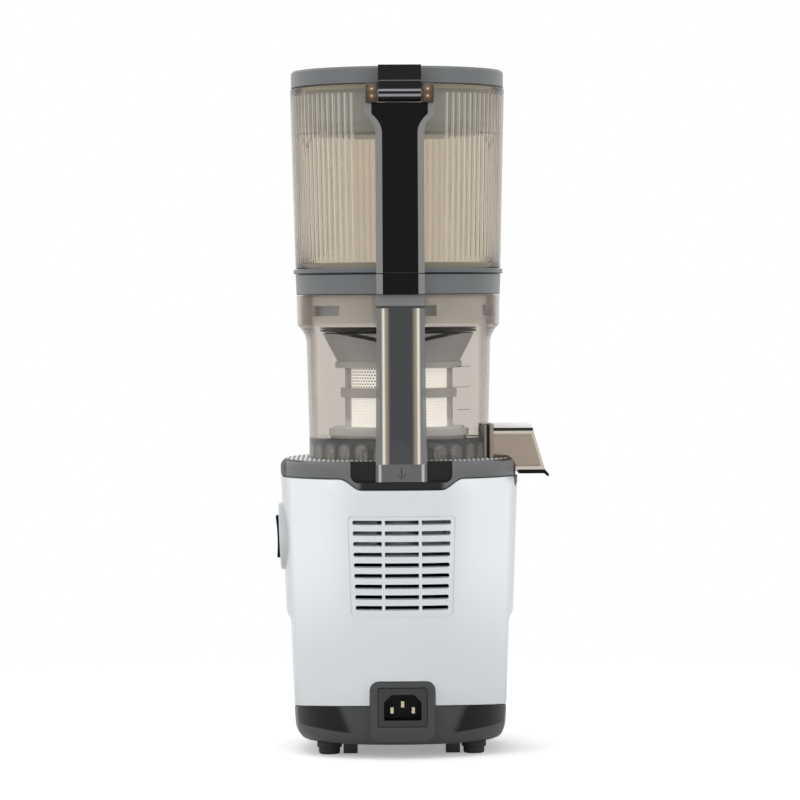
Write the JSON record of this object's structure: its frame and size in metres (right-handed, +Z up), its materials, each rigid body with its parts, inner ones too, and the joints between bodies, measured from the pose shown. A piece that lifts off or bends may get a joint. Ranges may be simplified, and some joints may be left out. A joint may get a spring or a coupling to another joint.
{
  "type": "cold press juicer",
  "caption": "Upright slow juicer: motor base, see-through bowl with strainer and auger, tall hopper with a hinged lid.",
  "frame": {"origin": "the middle of the box round the footprint, in the plane that the rubber feet stand on; the auger axis stands at x 8.3 mm, y 15.4 mm", "axes": "+Z up along the auger axis, -Y towards the front with the juice spout, +Y towards the handle column and mains inlet, +X towards the rocker switch, -X towards the pulp chute"},
  "size_m": [0.183, 0.2014, 0.454],
  "materials": {
    "base_pan": "satin charcoal",
    "rubber_feet": "matt black",
    "pan_screws": "zinc",
    "base_shell": "satin silver",
    "deck_cover": "fine textured dark grey",
    "inlet_body": "black",
    "inlet_pins": "plain",
    "switch_bezel": "satin silver",
    "switch_body": "black",
    "rocker": "gloss black",
    "motor_can": "dark",
    "stator": "varnished laminations",
    "lower_bracket": "cast",
    "upper_bracket": "cast",
    "rotor": "ground",
    "cooling_fan": "black",
    "gear_case": "cast",
    "gear_cover": "cast",
    "idler_shaft": "ground",
    "idler_gear": "cut",
    "output_wheel": "cut",
    "drive_shaft": "ground",
    "drive_bush": "sintered",
    "shaft_seal": "matt",
    "control_board": "green laminate",
    "interlock_switch": "black",
    "interlock_rod": "dark grey",
    "spine_rod": "dark grey",
    "bowl": "smoky see-through",
    "bowl_seal": "silicone",
    "pulp_chute": "smoky see-through",
    "chute_seal": "matt",
    "chute_cover": "pale grey",
    "chute_lip": "black",
    "spout_cap": "black",
    "cap_pin": "plain",
    "strainer_frame": "mid grey",
    "strainer_mesh": "perforated sheet",
    "auger": "black",
    "collar_ring": "satin grey",
    "hopper_spigot": "grey see-through",
    "hopper_floor": "satin grey",
    "hopper_tube": "smoky see-through",
    "spine_frame": "satin light grey",
    "spine_cover": "gloss black",
    "collar_cover": "gloss black",
    "hinge_ears": "smoky brown",
    "hinge_pin": "plain",
    "lid_ring": "satin grey",
    "lid_strap": "gloss black",
    "lid_cup": "grey see-through",
    "lid_seal": "silicone"
  },
  "bodies": {
    "base": {"base_pan": "base_pan", "rubber_feet": "rubber_feet", "pan_screws": "pan_screws", "base_shell": "base_shell", "deck_cover": "deck_cover", "inlet_body": "inlet_body", "inlet_pins": "inlet_pins", "switch_bezel": "switch_bezel", "switch_body": "switch_body", "motor_can": "motor_can", "stator": "stator", "lower_bracket": "lower_bracket", "upper_bracket": "upper_bracket", "gear_case": "gear_case", "gear_cover": "gear_cover", "idler_shaft": "idler_shaft", "drive_bush": "drive_bush", "shaft_seal": "shaft_seal", "control_board": "control_board", "interlock_switch": "interlock_switch"},
    "rocker": {"rocker": "rocker"},
    "motor_rotor": {"rotor": "rotor", "cooling_fan": "cooling_fan"},
    "idler": {"idler_gear": "idler_gear"},
    "drive": {"output_wheel": "output_wheel", "drive_shaft": "drive_shaft"},
    "bowl": {"bowl": "bowl", "bowl_seal": "bowl_seal", "pulp_chute": "pulp_chute", "chute_seal": "chute_seal", "chute_cover": "chute_cover", "chute_lip": "chute_lip", "cap_pin": "cap_pin", "strainer_frame": "strainer_frame", "strainer_mesh": "strainer_mesh"},
    "cap": {"spout_cap": "spout_cap"},
    "auger": {"auger": "auger"},
    "column_rod": {"interlock_rod": "interlock_rod"},
    "hopper": {"collar_ring": "collar_ring", "hopper_spigot": "hopper_spigot", "hopper_floor": "hopper_floor", "hopper_tube": "hopper_tube", "spine_frame": "spine_frame", "spine_cover": "spine_cover", "collar_cover": "collar_cover", "hinge_ears": "hinge_ears", "hinge_pin": "hinge_pin"},
    "spine_rod": {"spine_rod": "spine_rod"},
    "lid": {"lid_ring": "lid_ring", "lid_strap": "lid_strap", "lid_cup": "lid_cup", "lid_seal": "lid_seal"}
  },
  "joints": [
    {"name": "rocker_tilt", "type": "hinge", "parent": "base", "child": "rocker", "pos_m": [0.0832, 0.01542, 0.14311], "axis": [0, 1, 0], "range_deg": [-8, 8]},
    {"name": "motor_spin", "type": "hinge", "parent": "base", "child": "motor_rotor", "pos_m": [0.00826, 0.01542, 0.1], "axis": [0, 0, 1], "continuous": true},
    {"name": "idler_spin", "type": "hinge", "parent": "base", "child": "idler", "pos_m": [0.00826, -0.01158, 0.145], "axis": [0, 0, 1], "continuous": true},
    {"name": "drive_spin", "type": "hinge", "parent": "base", "child": "drive", "pos_m": [0.00826, 0.01542, 0.16], "axis": [0, 0, 1], "continuous": true},
    {"name": "bowl_lift", "type": "slide", "parent": "base", "child": "bowl", "axis": [0, 0, 1], "range_m": [0, 0.08]},
    {"name": "auger_spin", "type": "hinge", "parent": "bowl", "child": "auger", "pos_m": [0.00826, 0.01542, 0.22], "axis": [0, 0, 1], "continuous": true},
    {"name": "cap_swing", "type": "hinge", "parent": "bowl", "child": "cap", "pos_m": [0.00826, -0.09158, 0.2333], "axis": [-1, 0, 0], "range_deg": [0, 95]},
    {"name": "hopper_lift", "type": "slide", "parent": "bowl", "child": "hopper", "axis": [0, 0, 1], "range_m": [0, 0.06]},
    {"name": "lid_hinge", "type": "hinge", "parent": "hopper", "child": "lid", "pos_m": [0.00826, 0.09442, 0.436], "axis": [-1, 0, 0], "range_deg": [0, 100]},
    {"name": "column_rod_slide", "type": "slide", "parent": "bowl", "child": "column_rod", "axis": [0, 0, 1], "range_m": [0, 0.0033]},
    {"name": "spine_rod_slide", "type": "slide", "parent": "hopper", "child": "spine_rod", "axis": [0, 0, 1], "range_m": [0, 0.0033]}
  ],
  "couplings": [
    {"joint": "idler_spin", "follows": "motor_spin", "ratio": -0.28571},
    {"joint": "drive_spin", "follows": "motor_spin", "ratio": 0.081633},
    {"joint": "auger_spin", "follows": "motor_spin", "ratio": 0.081633},
    {"joint": "column_rod_slide", "follows": "lid_hinge", "m_per_rad": 0.0018},
    {"joint": "spine_rod_slide", "follows": "lid_hinge", "m_per_rad": 0.0018}
  ]
}
